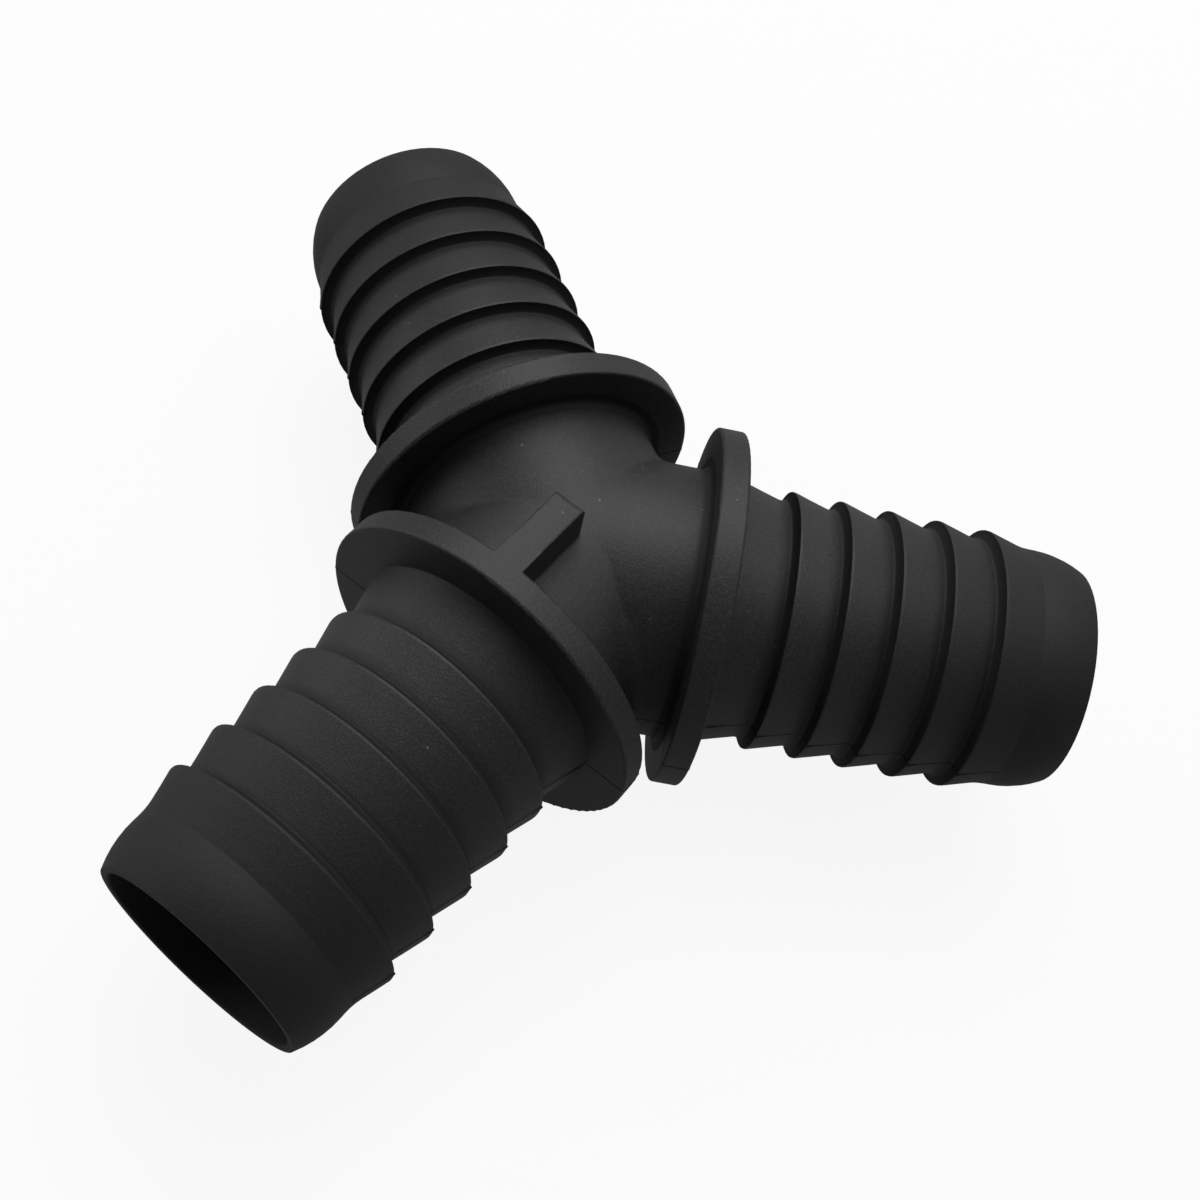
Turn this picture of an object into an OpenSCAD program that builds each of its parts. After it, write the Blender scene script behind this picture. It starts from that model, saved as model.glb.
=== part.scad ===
// Three-way hose connector, moulded in one piece. Three barbed spigots leave a
// common hub at equal angles in one plane. Each has a round collar that stops its
// hose, and one of them carries a rib on the top of the hub as a mark.
// The origin is where the three bores meet. The spigots lie in the XY plane and
// the marked one points along -Y.

/* [Spigots] */
// Diameter over the barbs, which the hose is stretched over
crest_d = 33.2; // [26:0.2:60]
// Number of barbs on each spigot
barbs = 5; // [2:1:8]
// Distance from one barb to the next
barb_pitch = 6.3; // [4.5:0.1:12]
// Height of a barb, and radius of the hollow behind it
barb_depth = 1.3; // [0.6:0.1:2]
// Length of the narrow flat on each crest
crest_land = 0.3; // [0.1:0.1:1]
// Distance from the collar to the crest of the first barb
first_barb = 7.6; // [5:0.1:14]
// Wall thickness at the foot of the barbs
wall = 2.4; // [1.8:0.1:4]

/* [Nose] */
// Length of the plain nose beyond the last ramp
nose_len = 7.6; // [5:0.1:14]
// Length of the straight band where the nose starts
band_len = 1.8; // [0.5:0.1:4]
// Radius of the hollow where the last ramp meets the band
neck_round = 8; // [1:0.5:10]
// How far the nose has drawn in at its end
nose_draw = 1.4; // [0.8:0.1:2]
// Rounding of the bore's inner edge at the mouth
lip_round = 0.3; // [0.1:0.05:0.5]

/* [Collars] */
// Height of the collar above the hub tube
collar_h = 5.5; // [2:0.1:12]
// Thickness of the collar
collar_t = 3.4; // [2:0.1:8]
// Rounding of the collar's rim
rim_round = 0.35; // [0.1:0.05:0.9]
// Fillet between the hub tube and the collar
foot_round = 0.8; // [0.2:0.1:1.5]
// Gap between the rims of two neighbouring collars
rim_gap = 2.8; // [1:0.1:20]

/* [Hub] */
// How much larger the hub tubes are in radius than the barbs
hub_step = 0.6; // [0.2:0.1:2]
// Radius of the fillet where two hub tubes meet
crotch_round = 3; // [1:0.5:5]

/* [Rib] */
// Width of the marking rib
rib_w = 3.9; // [1:0.1:8]
// Length of the rib along the hub, from the collar
rib_len = 11; // [4:0.1:13]
// Rounding of the rib's free end
rib_round = 1; // [0.2:0.1:2]

/* [Hidden] */
$fn = 96;

branches = 3;
branch_angle = 360 / branches;
half_angle = branch_angle / 2;
crest_r = crest_d / 2;
root_r = crest_r - barb_depth;
bore_r = root_r - wall;
hub_r = crest_r + hub_step;
collar_r = hub_r + collar_h;

// Lean of a crotch fillet's sides, in degrees
crotch_lean = 18;

// Stations along a spigot, from the middle of the hub
collar_in = (rim_gap / 2 + collar_r * cos(half_angle)) / sin(half_angle);
collar_out = collar_in + collar_t;
first_crest = collar_out + first_barb;
last_land = first_crest + (barbs - 1) * barb_pitch + crest_land;

// The ramps lean so that each one runs into the hollow of the next barb
ramp_run = barb_pitch - crest_land - barb_depth;
ramp_angle = asin(barb_depth / ramp_run);
nose_start = last_land + barb_depth / tan(ramp_angle);
spigot_end = nose_start + nose_len;
arc_len = nose_len - band_len;
nose_r = (arc_len * arc_len + nose_draw * nose_draw) / (2 * nose_draw);

// Radius of the ramp that leads to the first barb, where it leaves the collar
start_r = crest_r + (first_barb - ramp_run - barb_depth) * tan(ramp_angle);

function crest_at(i) = first_crest + i * barb_pitch;
function hollow_centre(i) = [crest_r, crest_at(i) - barb_depth];
function ramp_foot(i) =
    hollow_centre(i) - barb_depth * [cos(ramp_angle), sin(ramp_angle)];

neck_centre = [root_r + neck_round, nose_start + neck_round * tan(ramp_angle / 2)];
neck_foot = neck_centre - neck_round * [cos(ramp_angle), sin(ramp_angle)];

// Half the spigot's outline with its ramps, before the hollows are cut
module toothed_outline() {
    teeth = [for (i = [0 : barbs - 1]) each [
        ramp_foot(i),
        hollow_centre(i),
        [crest_r, crest_at(i) + crest_land]
    ]];
    polygon(concat(
        [[0, collar_in], [start_r, collar_in], [start_r, collar_out]],
        teeth,
        [
            neck_foot,
            [root_r, neck_centre[1]],
            [root_r, nose_start + band_len],
            [0, nose_start + band_len]
        ]
    ));
}

module barb_outline() {
    difference() {
        toothed_outline();
        for (i = [0 : barbs - 1])
            translate(hollow_centre(i)) circle(r = barb_depth);
        translate(neck_centre) circle(r = neck_round);
    }
}

// The nose draws in along one arc that starts level with the band
module nose_outline() {
    intersection() {
        translate([0, nose_start + band_len]) square([root_r, arc_len]);
        translate([root_r - nose_r, nose_start + band_len]) circle(r = nose_r);
    }
}

module collar_outline() {
    flat_t = collar_t - 2 * rim_round;
    translate([0, collar_in]) square([collar_r - rim_round, collar_t]);
    translate([0, collar_in + rim_round]) square([collar_r, flat_t]);
    for (side = [0, flat_t])
        translate([collar_r - rim_round, collar_in + rim_round + side]) circle(r = rim_round);
}

module hub_outline() {
    square([hub_r, collar_in + rim_round]);
    difference() {
        translate([hub_r - foot_round, collar_in - foot_round]) square(2 * foot_round);
        translate([hub_r + foot_round, collar_in - foot_round]) circle(r = foot_round);
    }
}

module spigot() {
    rotate_extrude() {
        barb_outline();
        nose_outline();
        collar_outline();
        hub_outline();
    }
}

// The bore, with the round on its inner edge at the mouth
module bore() {
    edge_r = bore_r + lip_round;
    rotate_extrude() {
        square([bore_r, spigot_end + wall]);
        difference() {
            translate([0, spigot_end - lip_round]) square([edge_r, wall]);
            translate([edge_r, spigot_end - lip_round]) circle(r = lip_round);
        }
    }
}

// Turns a child that stands along +Z with its top at +Y to lie along each spigot
module each_branch() {
    for (i = [0 : branches - 1])
        rotate(i * branch_angle) rotate([90, 0, 0]) children();
}

// Fillet in one crotch, as a waisted disc that fades out towards the crown
module crotch() {
    // The seam of two tubes bends about seam_at, and the waist follows it
    seam_r = hub_r * sin(half_angle);
    seam_at = hub_r / sin(half_angle) - seam_r;
    waist_r = seam_r + crotch_round * (1 / sin(half_angle) - 1);
    // The sides lean less than the tubes do, so that they run in under them
    side = [waist_r, 0] + crotch_round * [1 - cos(crotch_lean), sin(crotch_lean)];
    rim = side + (crotch_round - side[1]) * [tan(crotch_lean), 1];
    translate([0, 0, seam_at]) rotate([0, 90, 0]) rotate_extrude() difference() {
        polygon([
            [0, -rim[1]], [rim[0], -rim[1]], [side[0], -side[1]],
            side, rim, [0, rim[1]]
        ]);
        translate([waist_r + crotch_round, 0]) circle(r = crotch_round);
    }
}

// Runs from the collar to near the crown, and the collar's own radius trims its top
module rib() {
    rib_base = hub_r - wall / 2;
    rib_end = collar_in - rib_len;
    rib_root = collar_in + collar_t / 2;
    intersection() {
        rotate([0, -90, 0]) linear_extrude(rib_w, center = true) {
            translate([rib_end, rib_base]) square([rib_len, collar_r - rib_round - rib_base]);
            translate([rib_end + rib_round, rib_base])
                square([rib_root - rib_end - rib_round, collar_h + wall]);
            translate([rib_end + rib_round, collar_r - rib_round]) circle(r = rib_round);
        }
        cylinder(r = collar_r, h = rib_root);
    }
}

module y_connector() {
    color("#2b2b2b") difference() {
        union() {
            each_branch() spigot();
            rotate(half_angle) each_branch() crotch();
            rotate([90, 0, 0]) rib();
        }
        each_branch() bore();
    }
}

y_connector();
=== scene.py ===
import math
import bpy
from mathutils import Matrix, Vector


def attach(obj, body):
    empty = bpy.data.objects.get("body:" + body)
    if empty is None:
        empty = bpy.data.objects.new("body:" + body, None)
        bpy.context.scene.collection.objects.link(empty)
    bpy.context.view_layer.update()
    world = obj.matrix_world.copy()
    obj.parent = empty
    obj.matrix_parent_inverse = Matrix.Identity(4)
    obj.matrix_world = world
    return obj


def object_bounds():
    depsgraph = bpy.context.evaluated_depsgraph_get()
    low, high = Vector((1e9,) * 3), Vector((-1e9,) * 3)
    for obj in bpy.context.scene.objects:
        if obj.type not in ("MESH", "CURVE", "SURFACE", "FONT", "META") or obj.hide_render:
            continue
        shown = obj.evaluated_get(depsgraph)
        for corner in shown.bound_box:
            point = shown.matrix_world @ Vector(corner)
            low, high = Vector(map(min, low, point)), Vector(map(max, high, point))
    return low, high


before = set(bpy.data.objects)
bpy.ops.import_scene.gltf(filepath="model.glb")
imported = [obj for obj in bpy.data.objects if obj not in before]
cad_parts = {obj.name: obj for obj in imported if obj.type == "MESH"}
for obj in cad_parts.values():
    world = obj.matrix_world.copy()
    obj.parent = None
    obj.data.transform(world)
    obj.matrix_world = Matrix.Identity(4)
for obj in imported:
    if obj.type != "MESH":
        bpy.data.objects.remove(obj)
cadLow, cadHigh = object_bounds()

mm = 0.001
spigotTurns = (-90, 30, 150)  # the spigots lie in the XY plane, turned this far from +X


def outwards(turn):
    return Vector((math.cos(math.radians(turn)), math.sin(math.radians(turn)), 0))


def linear(hexCode):
    # sRGB hex to the linear colour that shaders take
    steps = [int(hexCode[i:i + 2], 16) / 255 for i in (1, 3, 5)]
    return [s / 12.92 if s <= 0.04045 else ((s + 0.055) / 1.055) ** 2.4 for s in steps] + [1]


def addNode(tree, kind, inputs=None, **settings):
    # inputs takes plain values and other nodes' output sockets alike. Math and Mix nodes
    # have several sockets of one name, so theirs are given by number
    made = tree.nodes.new(kind)
    for name, value in settings.items():
        setattr(made, name, value)
    for socket, value in (inputs or {}).items():
        if isinstance(value, bpy.types.NodeSocket):
            tree.links.new(value, made.inputs[socket])
        else:
            made.inputs[socket].default_value = value
    return made


def newMaterial(name):
    material = bpy.data.materials.new(name)
    material.use_nodes = True
    material.node_tree.nodes.clear()
    return material, material.node_tree


def deselectAll():
    if bpy.context.object and bpy.context.object.mode != "OBJECT":
        bpy.ops.object.mode_set(mode="OBJECT")
    bpy.ops.object.select_all(action="DESELECT")


# The camera's direction round the part and its tilt, in degrees, and its place. It looks past
# the hub's middle by the two shifts, and its lens and sensor are in millimetres
view = {
    "azimuth": 23.8665,
    "elevation": 58.6018,
    "roll": 16.1631,
    "distance": 180.18 * mm,
    "aside": 4.117 * mm,
    "above": -2.314 * mm,
    "nearest": 1 * mm,
    "lens": 42.78,
    "sensor": 36,
}


def makeCamera():
    azimuth, elevation, roll = (math.radians(view[k]) for k in ("azimuth", "elevation", "roll"))
    back = Vector((math.sin(azimuth) * math.cos(elevation),
                   -math.cos(azimuth) * math.cos(elevation), math.sin(elevation)))
    level = Vector((math.cos(azimuth), math.sin(azimuth), 0))
    upright = back.cross(level)
    right = level * math.cos(roll) + upright * math.sin(roll)
    up = upright * math.cos(roll) - level * math.sin(roll)
    place = back * view["distance"] + right * view["aside"] + up * view["above"]
    bpy.ops.object.camera_add(location=place)
    camera = bpy.context.object
    camera.name = "camera"
    camera.data.lens = view["lens"]
    camera.data.sensor_width = view["sensor"]
    camera.data.sensor_fit = "HORIZONTAL"
    camera.data.clip_start = view["nearest"]
    turn = Matrix((right, up, back)).transposed()
    camera.matrix_world = Matrix.LocRotScale(place, turn, None)
    bpy.context.scene.camera = camera


# Black glass-filled nylon, moulded against spark-eroded steel: a fine even grain,
# a dull sheen, and here and there a pale speck where a glass fibre ends at the skin.
# Lengths are in millimetres
nylon = {
    "colour": "#1b1b1b",
    "flowColour": "#222222",  # the tone changes slowly where the plastic flowed
    "flowSize": 22,
    "flowNoise": {"Detail": 4, "Roughness": 0.6},
    "ior": 1.53,
    "specular": 0.4,
    "roughness": (0.44, 0.6),
    "grain": 0.27,  # the real grain is about 0.1 mm, too fine to show here
    "grainNoise": {"Detail": 3, "Roughness": 0.65},
    "grainHeight": 0.055,
    "grainColour": "#393939",
    "grainPale": (0.48, 0.72),  # the noise at which the grain starts and ends turning pale
    "speckColour": "#666666",
    "speckSpacing": 1.9,
    "speckRadius": 0.17,  # of the largest
    "speckShare": 0.5,
    # The colour painted in as shade in the hollows behind the barbs, at the collars' feet,
    # towards the noses and in the bores
    "paintedShadeColour": "#0d0d0d",
    "dullRoughness": 0.72,
}

# Where the nylon's shading changes, in millimetres: where shade is painted into its colour, how
# edges are rounded and how normals lean.
# Places along a spigot are counted from the hub's middle, and those on a barb from the crest
# before it
shadingPlaces = {
    "boreWall": 13.3,  # just outside the bore and the round at its mouth
    "firstCrest": 25.72,
    "barbPitch": 6.3,
    "barbsEnd": 50.98,  # just past the last crest
    "hollowShade": (3.8, 5.8),  # from where the painted shade and roughness start in a hollow to where they are full
    # Painted shade at the fillet of a collar's foot, between these reaches
    "footShade": (13.3, 14),
    "footTop": 18.9,  # how far from the axis the painted shade at a collar's foot reaches
    "collarFace": 14.9,
    # Painted shade grows along the spigots between these reaches, up to this share at the noses
    "noseShade": (30, 60),
    "noseShare": 0.8,
    "edge": 0.14,  # the radii that edges are shaded with
    "ribEdge": 0.5,
    "hubEdge": 0.9,  # the seams of the hub are blended softly
    "edgeSamples": 6,
    "hubReach": 11.5,
    "hubTop": 17.6,  # just above the hub tubes, on the rib
    # How much the normals lean towards the hub, as changes between two places
    "barbLeans": ((4.64, 5.4, -0.58), (5.4, 5.75, 1.6)),
    "neckLeans": ((54.66, 56.1, -0.185), (56.1, 56.25, 0.285), (56.25, 56.87, -0.1)),
}


def locate(tree, millimetres):
    # Sockets that say where on the connector a point lies
    reach = 0
    for turn in spigotTurns:
        along = addNode(tree, "ShaderNodeVectorMath", {
            0: millimetres, 1: outwards(turn)}, operation="DOT_PRODUCT")
        reach = addNode(tree, "ShaderNodeMath", {
            0: reach, 1: along.outputs["Value"]}, operation="MAXIMUM").outputs[0]
    squared = addNode(tree, "ShaderNodeVectorMath", {
        0: millimetres, 1: millimetres}, operation="DOT_PRODUCT")
    reachSquared = addNode(tree, "ShaderNodeMath", {0: reach, 1: reach}, operation="MULTIPLY")
    fromAxisSquared = addNode(tree, "ShaderNodeMath", {
        0: squared.outputs["Value"], 1: reachSquared.outputs[0]}, operation="SUBTRACT")
    outside = addNode(tree, "ShaderNodeMath", {
        0: fromAxisSquared.outputs[0], 1: shadingPlaces["boreWall"] ** 2}, operation="GREATER_THAN")
    fromFirst = addNode(tree, "ShaderNodeMath", {
        0: reach, 1: shadingPlaces["firstCrest"] - shadingPlaces["barbPitch"]}, operation="SUBTRACT")
    pastCrest = addNode(tree, "ShaderNodeMath", {
        0: fromFirst.outputs[0], 1: shadingPlaces["barbPitch"]}, operation="MODULO")
    beforeNose = addNode(tree, "ShaderNodeMath", {
        0: reach, 1: shadingPlaces["barbsEnd"]}, operation="LESS_THAN")
    onBarbs = addNode(tree, "ShaderNodeMath", {
        0: outside.outputs[0], 1: beforeNose.outputs[0]}, operation="MULTIPLY")
    return {
        "reach": reach,  # how far out along its spigot
        "fromAxisSquared": fromAxisSquared.outputs[0],
        "outside": outside.outputs[0],  # 1 outside the bores
        "pastCrest": pastCrest.outputs[0],  # how far past the crest before it
        "onBarbs": onBarbs.outputs[0],  # 1 outside the bores and short of the nose
    }


def addSteps(tree, position, steps):
    # Adds up ramps that each change a value between two places
    total = 0
    for start, end, change in steps:
        ramp = addNode(tree, "ShaderNodeMapRange", {
            "Value": position, "From Min": start, "From Max": end, "To Max": change})
        total = addNode(tree, "ShaderNodeMath", {0: total, 1: ramp.outputs[0]}).outputs[0]
    return total


def findPaintedShade(tree, spot):
    # Where shade is painted into the colour and the skin made rougher, first in the hollows
    # behind the barbs
    pastRamp = addNode(tree, "ShaderNodeMapRange", {
        "Value": spot["pastCrest"],
        "From Min": shadingPlaces["hollowShade"][0], "From Max": shadingPlaces["hollowShade"][1]})
    hollow = addNode(tree, "ShaderNodeMath", {
        0: pastRamp.outputs[0], 1: spot["onBarbs"]}, operation="MULTIPLY")
    # Painted shade in the fillet at a collar's foot, on the hub's side
    nearCollar = addNode(tree, "ShaderNodeMapRange", {
        "Value": spot["reach"],
        "From Min": shadingPlaces["footShade"][0], "From Max": shadingPlaces["footShade"][1]})
    belowRim = addNode(tree, "ShaderNodeMath", {
        0: spot["fromAxisSquared"], 1: shadingPlaces["footTop"] ** 2}, operation="LESS_THAN")
    hubSide = addNode(tree, "ShaderNodeMath", {
        0: spot["reach"], 1: shadingPlaces["collarFace"]}, operation="LESS_THAN")
    foot = spot["outside"]
    for share in (nearCollar, belowRim, hubSide):
        foot = addNode(tree, "ShaderNodeMath", {
            0: foot, 1: share.outputs[0]}, operation="MULTIPLY").outputs[0]
    # Painted shade growing towards the noses, and full painted shade in the bores
    nose = addNode(tree, "ShaderNodeMapRange", {
        "Value": spot["reach"],
        "From Min": shadingPlaces["noseShade"][0], "From Max": shadingPlaces["noseShade"][1],
        "To Max": shadingPlaces["noseShare"]})
    inBore = addNode(tree, "ShaderNodeMath", {0: 1, 1: spot["outside"]}, operation="SUBTRACT")
    paintedShade = foot
    for share in (hollow, nose, inBore):
        paintedShade = addNode(tree, "ShaderNodeMath", {
            0: paintedShade, 1: share.outputs[0]}, operation="MAXIMUM").outputs[0]
    return paintedShade


def scatterSpecks(tree, millimetres):
    # The middles of some of the cells of a loose random lattice, each of its own size and
    # strength
    cells = addNode(tree, "ShaderNodeTexVoronoi", {
        "Vector": millimetres, "Scale": 1 / nylon["speckSpacing"]})
    lot = addNode(tree, "ShaderNodeSeparateColor", {"Color": cells.outputs["Color"]})
    size = addNode(tree, "ShaderNodeMath", {
        0: lot.outputs["Green"], 1: nylon["speckRadius"] / nylon["speckSpacing"]},
        operation="MULTIPLY")
    inside = addNode(tree, "ShaderNodeMath", {
        0: cells.outputs["Distance"], 1: size.outputs[0]}, operation="LESS_THAN")
    drawn = addNode(tree, "ShaderNodeMath", {
        0: lot.outputs["Red"], 1: nylon["speckShare"]}, operation="LESS_THAN")
    speck = addNode(tree, "ShaderNodeMath", {
        0: inside.outputs[0], 1: drawn.outputs[0]}, operation="MULTIPLY")
    faded = addNode(tree, "ShaderNodeMath", {
        0: speck.outputs[0], 1: lot.outputs["Blue"]}, operation="MULTIPLY")
    return faded.outputs[0]


def shadeNormals(tree, millimetres, spot, grain):
    # Edges are slightly rounded everywhere, and more so between the hub tubes
    inHub = addNode(tree, "ShaderNodeMath", {
        0: spot["reach"], 1: shadingPlaces["hubReach"]}, operation="LESS_THAN")
    height = addNode(tree, "ShaderNodeSeparateXYZ", {"Vector": millimetres})
    underRib = addNode(tree, "ShaderNodeMath", {
        0: height.outputs["Z"], 1: shadingPlaces["hubTop"]}, operation="LESS_THAN")
    hubRadius = addNode(tree, "ShaderNodeMapRange", {
        "Value": underRib.outputs[0],
        "To Min": shadingPlaces["ribEdge"] * mm, "To Max": shadingPlaces["hubEdge"] * mm})
    radius = addNode(tree, "ShaderNodeMix", {
        0: inHub.outputs[0], 2: shadingPlaces["edge"] * mm, 3: hubRadius.outputs[0]},
        data_type="FLOAT")
    rounded = addNode(tree, "ShaderNodeBevel", {
        "Radius": radius.outputs[0]}, samples=shadingPlaces["edgeSamples"])

    # Each ramp is shaded straight on to the back of the next barb, and the last one to the
    # nose's band, where it ends in a sharp corner
    barbLean = addNode(tree, "ShaderNodeMath", {
        0: addSteps(tree, spot["pastCrest"], shadingPlaces["barbLeans"]), 1: spot["onBarbs"]},
        operation="MULTIPLY")
    neckLean = addNode(tree, "ShaderNodeMath", {
        0: addSteps(tree, spot["reach"], shadingPlaces["neckLeans"]), 1: spot["outside"]},
        operation="MULTIPLY")
    lean = addNode(tree, "ShaderNodeMath", {0: barbLean.outputs[0], 1: neckLean.outputs[0]})
    inwards = addNode(tree, "ShaderNodeVectorMath", {
        0: millimetres, 1: (-1, -1, 0)}, operation="MULTIPLY")
    towardsHub = addNode(tree, "ShaderNodeVectorMath", {
        0: inwards.outputs[0]}, operation="NORMALIZE")
    leaning = addNode(tree, "ShaderNodeVectorMath", {
        0: towardsHub.outputs[0], "Scale": lean.outputs[0]}, operation="SCALE")
    leant = addNode(tree, "ShaderNodeVectorMath", {
        0: rounded.outputs[0], 1: leaning.outputs[0]})
    cornered = addNode(tree, "ShaderNodeVectorMath", {
        0: leant.outputs[0]}, operation="NORMALIZE")
    bump = addNode(tree, "ShaderNodeBump", {
        "Height": grain, "Distance": nylon["grainHeight"] * mm,
        "Strength": 1, "Normal": cornered.outputs[0]})
    return bump.outputs[0]


def makeNylon():
    material, tree = newMaterial("glassFilledNylon")
    place = addNode(tree, "ShaderNodeTexCoord").outputs["Object"]
    millimetres = addNode(tree, "ShaderNodeMapping", {
        "Vector": place, "Scale": (1 / mm,) * 3}).outputs[0]
    spot = locate(tree, millimetres)
    # Where shade is painted into the colour, in the hollows, at the collars' feet, towards the
    # noses and in the bores; the same places are made rougher
    paintedShade = findPaintedShade(tree, spot)

    flow = addNode(tree, "ShaderNodeTexNoise", {
        "Vector": millimetres, "Scale": 1 / nylon["flowSize"], **nylon["flowNoise"]})
    grain = addNode(tree, "ShaderNodeTexNoise", {
        "Vector": millimetres, "Scale": 1 / nylon["grain"], **nylon["grainNoise"]})
    pale = addNode(tree, "ShaderNodeMapRange", {
        "Value": grain.outputs["Fac"],
        "From Min": nylon["grainPale"][0], "From Max": nylon["grainPale"][1]})
    colour = linear(nylon["colour"])
    # The colour takes the slow tone changes, the pale grain, the specks and, last, the painted
    # shade
    for share, over in ((flow.outputs["Fac"], "flowColour"), (pale.outputs[0], "grainColour"),
                        (scatterSpecks(tree, millimetres), "speckColour"), (paintedShade, "paintedShadeColour")):
        colour = addNode(tree, "ShaderNodeMix", {
            0: share, 6: colour, 7: linear(nylon[over])}, data_type="RGBA").outputs[2]

    rough = addNode(tree, "ShaderNodeMapRange", {
        "Value": grain.outputs["Fac"],
        "To Min": nylon["roughness"][0], "To Max": nylon["roughness"][1]})
    rougher = addNode(tree, "ShaderNodeMix", {
        0: paintedShade, 2: rough.outputs[0], 3: nylon["dullRoughness"]}, data_type="FLOAT")
    shader = addNode(tree, "ShaderNodeBsdfPrincipled", {
        "Base Color": colour, "Roughness": rougher.outputs[0], "IOR": nylon["ior"],
        "Specular IOR Level": nylon["specular"],
        "Normal": shadeNormals(tree, millimetres, spot, grain.outputs["Fac"])})
    addNode(tree, "ShaderNodeOutputMaterial", {"Surface": shader.outputs[0]})
    return material


def dressConnector():
    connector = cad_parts["y_connector"]
    connector.data.materials.clear()
    connector.data.materials.append(makeNylon())
    return connector


# Where the two halves of the mould met, a thin fin runs round the middle plane, higher on
# the crests
partingLine = {
    "width": 0.22 * mm,
    "height": 0.04 * mm,
    "sunk": 0.12 * mm,  # how far it goes in under the skin
    "crestExtra": 0.12 * mm,
    "crestFrom": 16.5 * mm,  # the crests lie between these two distances from the axis
    "crestTo": 16.8 * mm,
    "boreWall": 13.4 * mm,
    "noseStart": 56 * mm,
    "collarEnd": 18.2 * mm,
    "merge": 0.001 * mm,
}


def cutFin(fin):
    # A thin slice of the connector's skin round the middle plane
    bpy.ops.object.mode_set(mode="EDIT")
    bpy.ops.mesh.select_all(action="SELECT")
    bpy.ops.mesh.remove_doubles(threshold=partingLine["merge"])
    half = partingLine["width"] / 2
    for height, outer in ((half, True), (-half, False)):
        bpy.ops.mesh.select_all(action="SELECT")
        bpy.ops.mesh.bisect(plane_co=(0, 0, height), plane_no=(0, 0, 1),
                            clear_outer=outer, clear_inner=not outer)
    # The bores and the noses keep no fin
    bpy.ops.mesh.select_mode(type="FACE")
    bpy.ops.mesh.select_all(action="DESELECT")
    bpy.ops.object.mode_set(mode="OBJECT")
    for face in fin.data.polygons:
        turn = max(spigotTurns, key=lambda each: face.center.dot(outwards(each)))
        reach = face.center.dot(outwards(turn))
        aside = face.center.dot(outwards(turn + 90))
        face.select = abs(aside) < partingLine["boreWall"] or reach > partingLine["noseStart"]
    bpy.ops.object.mode_set(mode="EDIT")
    bpy.ops.mesh.delete(type="FACE")
    bpy.ops.object.mode_set(mode="OBJECT")


def raiseCrests(fin):
    # On each crest the fin stands out further, away from its spigot's axis
    for turn in spigotTurns:
        for side in (outwards(turn + 90), outwards(turn - 90)):
            bpy.ops.object.mode_set(mode="EDIT")
            bpy.ops.mesh.select_mode(type="VERT")
            bpy.ops.mesh.select_all(action="DESELECT")
            bpy.ops.object.mode_set(mode="OBJECT")
            for corner in fin.data.vertices:
                reach = corner.co.dot(outwards(turn))
                aside = corner.co.dot(side)
                corner.select = (reach > partingLine["collarEnd"]
                                 and partingLine["crestFrom"] < aside < partingLine["crestTo"])
            bpy.ops.object.mode_set(mode="EDIT")
            bpy.ops.transform.translate(value=side * partingLine["crestExtra"])
    bpy.ops.object.mode_set(mode="OBJECT")


def makePartingLine(connector, material):
    deselectAll()
    fin = bpy.data.objects.new("partingLine", connector.data.copy())
    bpy.context.collection.objects.link(fin)
    fin.select_set(True)
    bpy.context.view_layer.objects.active = fin
    cutFin(fin)
    bpy.ops.object.modifier_add(type="SOLIDIFY")
    shell = fin.modifiers[-1]
    thickness = partingLine["height"] + partingLine["sunk"]
    shell.thickness = thickness
    shell.offset = (partingLine["height"] - partingLine["sunk"]) / thickness
    shell.use_even_offset = True
    bpy.ops.object.modifier_apply(modifier=shell.name)
    raiseCrests(fin)
    bpy.ops.object.mode_set(mode="EDIT")
    bpy.ops.mesh.select_all(action="SELECT")
    bpy.ops.mesh.normals_make_consistent(inside=False)
    bpy.ops.object.mode_set(mode="OBJECT")
    fin.data.materials.clear()
    fin.data.materials.append(material)
    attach(fin, "root")


# A plain sheet under the part, white to the eye, that keeps a soft shadow, and pale air
# round it
studio = {
    "floorSize": 6,  # metres
    "floorColour": "#f6f6f6",
    "bounceColour": "#888888",  # a white one would fill the undersides with light
    "glow": 0.9,  # the share of the sheet that is plain white to the camera
    "glowInGloss": 0.17,  # a black part would turn grey over a full white floor
    "air": 0.06,
    "airInGloss": 0.06,
}

# Soft panels, in metres, with their power in watts
softPanels = {
    "overhead": {"place": (-0.15, 0.36, 0.92), "width": 0.73, "height": 0.73, "power": 4.3},
    "backLeft": {"place": (-0.473, 0.473, 0.743), "width": 0.73, "height": 0.73, "power": 3.4},
    "backRight": {"place": (0.473, 0.473, 0.743), "width": 0.73, "height": 0.73, "power": 1.9},
    "left": {"place": (-0.91, -0.27, 0.31), "width": 0.7, "height": 0.6, "power": 2.4},
    "right": {"place": (0.76, -0.5, 0.42), "width": 0.6, "height": 0.6, "power": 0.2},
    "back": {"place": (0, 0.978, 0.208), "width": 0.6, "height": 0.6, "power": 0.8},
}


def findRays(tree):
    # 1 for rays that the camera sends, and 1 for those that gloss or glass sends on
    path = addNode(tree, "ShaderNodeLightPath")
    gloss = addNode(tree, "ShaderNodeMath", {
        0: path.outputs["Is Glossy Ray"], 1: path.outputs["Is Transmission Ray"]},
        operation="MAXIMUM")
    return path.outputs["Is Camera Ray"], gloss.outputs[0]


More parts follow.
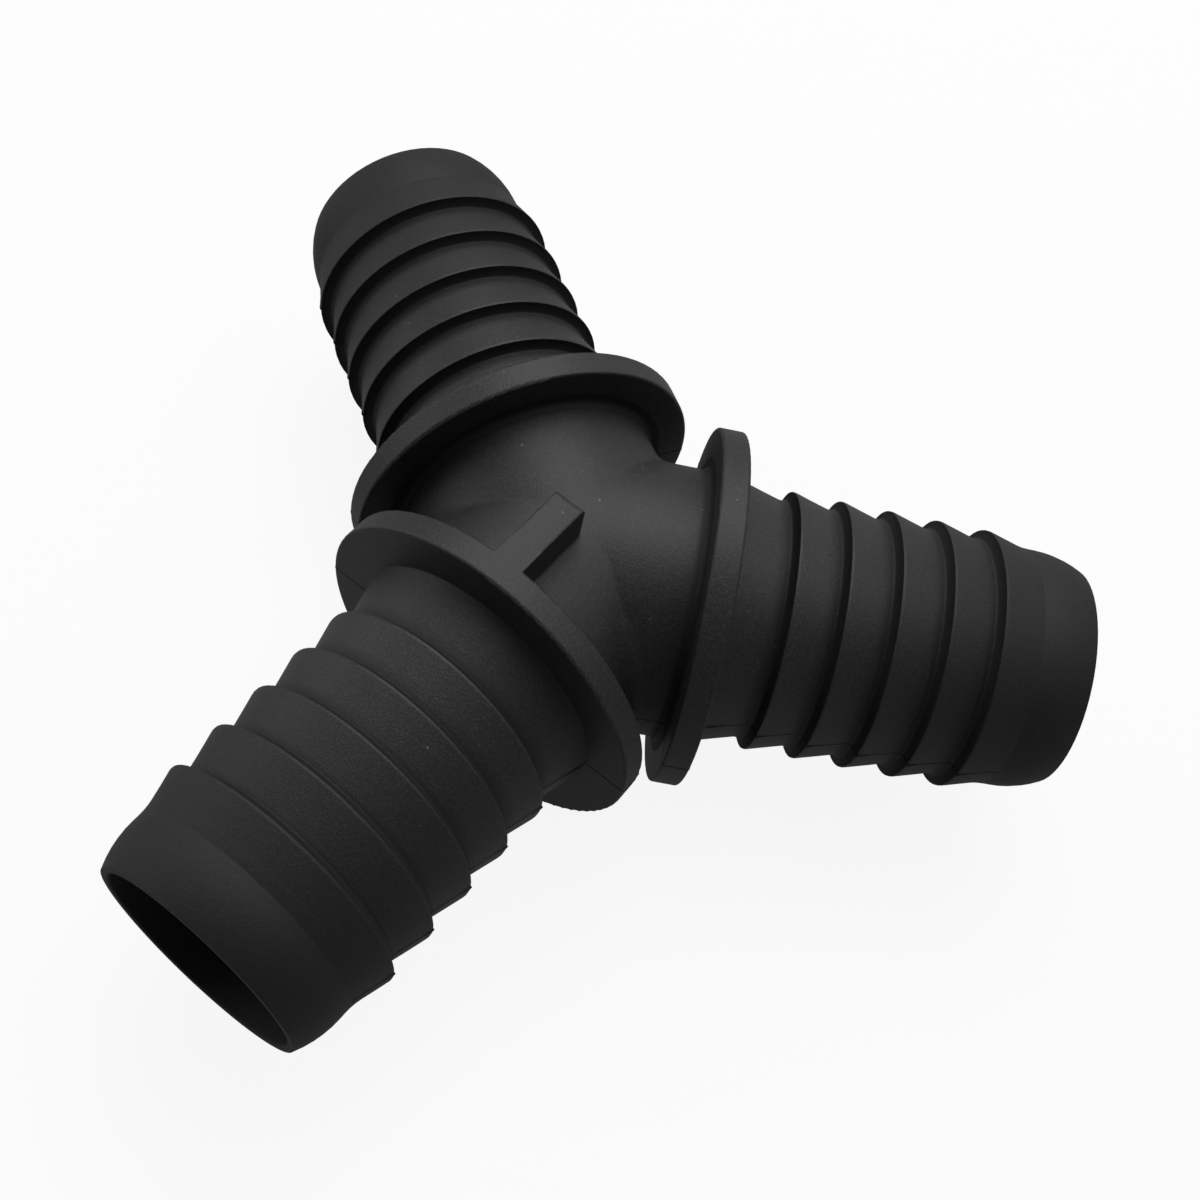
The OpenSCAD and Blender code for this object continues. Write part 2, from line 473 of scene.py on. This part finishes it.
def makeFloor():
    bpy.ops.mesh.primitive_plane_add(size=studio["floorSize"], location=(0, 0, cadLow.z))
    floor = bpy.context.object
    floor.name = "floor"
    material, tree = newMaterial("palePaper")
    toCamera, gloss = findRays(tree)
    tone = addNode(tree, "ShaderNodeMix", {
        0: toCamera, 6: linear(studio["bounceColour"]), 7: linear(studio["floorColour"])},
        data_type="RGBA")
    paper = addNode(tree, "ShaderNodeBsdfDiffuse", {"Color": tone.outputs[2]})
    glow = addNode(tree, "ShaderNodeEmission", {"Color": linear("#ffffff"), "Strength": 1})
    faint = addNode(tree, "ShaderNodeMath", {
        0: gloss, 1: studio["glowInGloss"]}, operation="MULTIPLY")
    share = addNode(tree, "ShaderNodeMath", {
        0: toCamera, 1: studio["glow"], 2: faint.outputs[0]}, operation="MULTIPLY_ADD")
    mixed = addNode(tree, "ShaderNodeMixShader", {
        0: share.outputs[0], 1: paper.outputs[0], 2: glow.outputs[0]})
    addNode(tree, "ShaderNodeOutputMaterial", {"Surface": mixed.outputs[0]})
    floor.data.materials.append(material)


def makeAir():
    world = bpy.data.worlds.new("studioAir")
    bpy.context.scene.world = world
    world.use_nodes = True
    tree = world.node_tree
    tree.nodes.clear()
    toCamera, gloss = findRays(tree)
    faint = addNode(tree, "ShaderNodeMath", {
        0: gloss, 1: studio["airInGloss"], 2: studio["air"]}, operation="MULTIPLY_ADD")
    strength = addNode(tree, "ShaderNodeMath", {
        0: toCamera, 1: faint.outputs[0]}, operation="MAXIMUM")
    air = addNode(tree, "ShaderNodeBackground", {
        "Color": linear("#ffffff"), "Strength": strength.outputs[0]})
    addNode(tree, "ShaderNodeOutputWorld", {"Surface": air.outputs[0]})


def hangPanels():
    for name, panel in softPanels.items():
        bpy.ops.object.light_add(type="AREA", location=panel["place"])
        lamp = bpy.context.object
        lamp.name = name
        lamp.data.shape = "RECTANGLE"
        lamp.data.size = panel["width"]
        lamp.data.size_y = panel["height"]
        lamp.data.energy = panel["power"]
        lamp.rotation_euler = Vector(panel["place"]).to_track_quat("Z", "Y").to_euler()


deselectAll()
makeCamera()
print("camera set")
connector = dressConnector()
print("connector finished")
makePartingLine(connector, connector.data.materials[0])
print("parting line made")
makeFloor()
makeAir()
hangPanels()
print("studio lit")
bpy.context.scene.view_settings.view_transform = "Standard"
